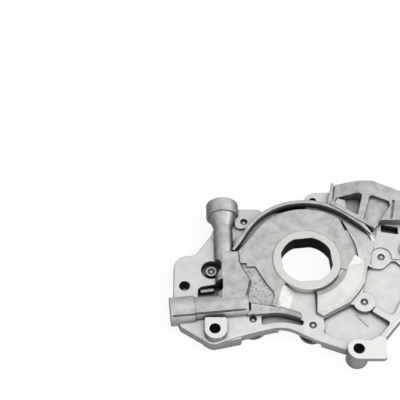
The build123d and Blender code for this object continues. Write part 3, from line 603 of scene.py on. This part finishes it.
# a ridge laid along a tube: point = axis + radius(t) * lean direction + across * width * v
# + out * height * (1 - v^2), t running along the tube and v from -1 to 1 across it, tapering at
# both ends, with a foot buried in the tube
def seamStrip(name):
    s = {**seamCommon, **seamSettings[name]}
    start, end = np.array(s["fromMm"]), np.array(s["toMm"])
    length = np.linalg.norm(end - start)
    along = (end - start) / length
    side = np.cross(along, (0, 0, 1))
    side /= np.linalg.norm(side)
    lean = np.radians(s["leanDegrees"])
    out = np.cos(lean) * np.array((0, 0, 1)) + np.sin(lean) * side
    across = np.cross(out, along)
    v = np.concatenate((np.linspace(-1, 1, s["acrossSteps"]), s["footShares"]))
    t, v = np.meshgrid(np.linspace(0, 1, s["alongSteps"]), v, indexing="ij")
    buried = np.arange(v.shape[1]) >= s["acrossSteps"]
    first, second = s["radiiMm"]
    stepped = np.clip((t * length - s["stepMm"]) / s["stepLengthMm"] + 0.5, 0, 1)
    radius = first + (second - first) * stepped
    taper = np.clip(np.minimum(t, 1 - t) * s["taperShare"], s["taperLeast"], 1)
    # how far a flat strip's edge stands off the round tube, width^2 / (8 radius), and the sink
    dip = s["widthMm"] ** 2 / 8 / radius * v ** 2 + s["sinkMm"]
    ridge = s["heightMm"] * taper * (1 - v ** 2)
    reach = radius - dip + np.where(buried, -s["footMm"], ridge)
    rings = (
        start + along * (t * length)[..., None] + out * reach[..., None]
        + across * (v * taper * s["widthMm"] / 2)[..., None]
    )
    piece = newObject(name, skinMesh(name, rings, "flash"))
    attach(piece, "housing")


for seamName in seamSettings:
    seamStrip(seamName)
print("parting seams on the tubes")

# floor, lamps and world; places and sizes in metres, power in watts
stageSettings = {
    "floorSize": 6.0,
    "floorDrop": 0.0002,
    "paper": "#F2F2F2",
    "plainShare": 0.90,                 # how much of the floor's look is plain white to the eye
    "holeShadeMm": 7.0,                 # round each bolt hole the paper below is unlit
    "lamps": {
        "keyLamp": {"place": (0.75, 0.15, 0.62), "size": 0.66, "power": 4.3},
        "topLamp": {"place": (0.05, 0.1, 1.0), "size": 0.9, "power": 2.4},
        "frontLamp": {"place": (0.25, -0.85, 0.30), "size": 0.9, "power": 3.2},
    },
    "brightWay": (0.40, -0.64, 0.66),   # the room is brightest this way
    "brightLimits": (-0.3, 0.95),       # cosine of the angle to it, at dim and at bright
    "brightStrength": 1.3,
    "dimStrength": 0.05,
}
white = (1, 1, 1, 1)


# paper's look = lit paper + share * (plain white - lit paper), share = background ray * not under
# a bolt hole * plainShare
def makeFloor():
    s = stageSettings
    half, drop = s["floorSize"] / 2, -s["floorDrop"]
    corners = [(x * half, y * half, drop) for x, y in ((-1, -1), (1, -1), (1, 1), (-1, 1))]
    mesh = bpy.data.meshes.new("floor")
    mesh.from_pydata(corners, [], [(0, 1, 2, 3)])
    floor = newObject("floor", mesh)
    material, tree = newMaterial("whitePaper")
    place = addNode(tree, "ShaderNodeTexCoord").outputs["Object"]
    under = discMask(tree, place, castSettings["boltHolesMm"], s["holeShadeMm"])
    lit = addNode(tree, "ShaderNodeMath", {"operation": "SUBTRACT"}, i0=1.0, i1=under).outputs[0]
    paper = addNode(tree, "ShaderNodeBsdfDiffuse", None, Color=linearColour(s["paper"]))
    plain = addNode(tree, "ShaderNodeEmission", None, Color=white, Strength=1.0)
    share = product(tree, backgroundRay(tree), lit, s["plainShare"])
    look = addNode(
        tree, "ShaderNodeMixShader", None, i0=share, i1=paper.outputs[0], i2=plain.outputs[0]
    )
    addNode(tree, "ShaderNodeOutputMaterial", None, Surface=look.outputs[0])
    mesh.materials.append(material)


# a square lamp that faces the origin
def makeLamp(name, place, size, power):
    lamp = bpy.data.lights.new(name, "AREA")
    lamp.size = size
    lamp.energy = power
    holder = newObject(name, lamp)
    holder.location = place
    holder.rotation_euler = (-Vector(place)).to_track_quat("-Z", "Y").to_euler()


# strength = dim + (bright - dim) * share, the share rising with the cosine to the brightest way;
# plain white to the eye and in mirror images
def makeWorld():
    s = stageSettings
    world = bpy.data.worlds.new("studio")
    bpy.context.scene.world = world
    world.use_nodes = True
    tree = world.node_tree
    tree.nodes.clear()
    way = addNode(tree, "ShaderNodeTexCoord").outputs["Generated"]
    towards = addNode(
        tree, "ShaderNodeVectorMath", {"operation": "DOT_PRODUCT"}, i0=way, i1=s["brightWay"]
    ).outputs["Value"]
    low, high = s["brightLimits"]
    bright = addNode(tree, "ShaderNodeMapRange", None, i0=towards, i1=low, i2=high).outputs[0]
    strength = addNode(
        tree, "ShaderNodeMix", None, i0=bright, i2=s["dimStrength"], i3=s["brightStrength"]
    ).outputs[0]
    soft = addNode(tree, "ShaderNodeBackground", None, Color=white, Strength=strength)
    plain = addNode(tree, "ShaderNodeBackground", None, Color=white, Strength=1.0)
    look = addNode(
        tree, "ShaderNodeMixShader", None,
        i0=backgroundRay(tree), i1=soft.outputs[0], i2=plain.outputs[0],
    )
    addNode(tree, "ShaderNodeOutputWorld", None, Surface=look.outputs[0])


makeFloor()
for lampName, lampSettings in stageSettings["lamps"].items():
    makeLamp(lampName, **lampSettings)
makeWorld()

cameraSettings = {
    "place": (-0.08561, -0.51540, 0.87736),
    "tiltDegrees": 33.7,     # from straight down
    "fieldDegrees": 18.2,
}
camera = bpy.data.cameras.new("camera")
camera.angle = np.radians(cameraSettings["fieldDegrees"])
cameraHolder = newObject("camera", camera)
cameraHolder.location = cameraSettings["place"]
cameraHolder.rotation_euler = (np.radians(cameraSettings["tiltDegrees"]), 0, 0)
bpy.context.scene.camera = cameraHolder
bpy.context.scene.view_settings.view_transform = "Standard"
print("stage and camera set")
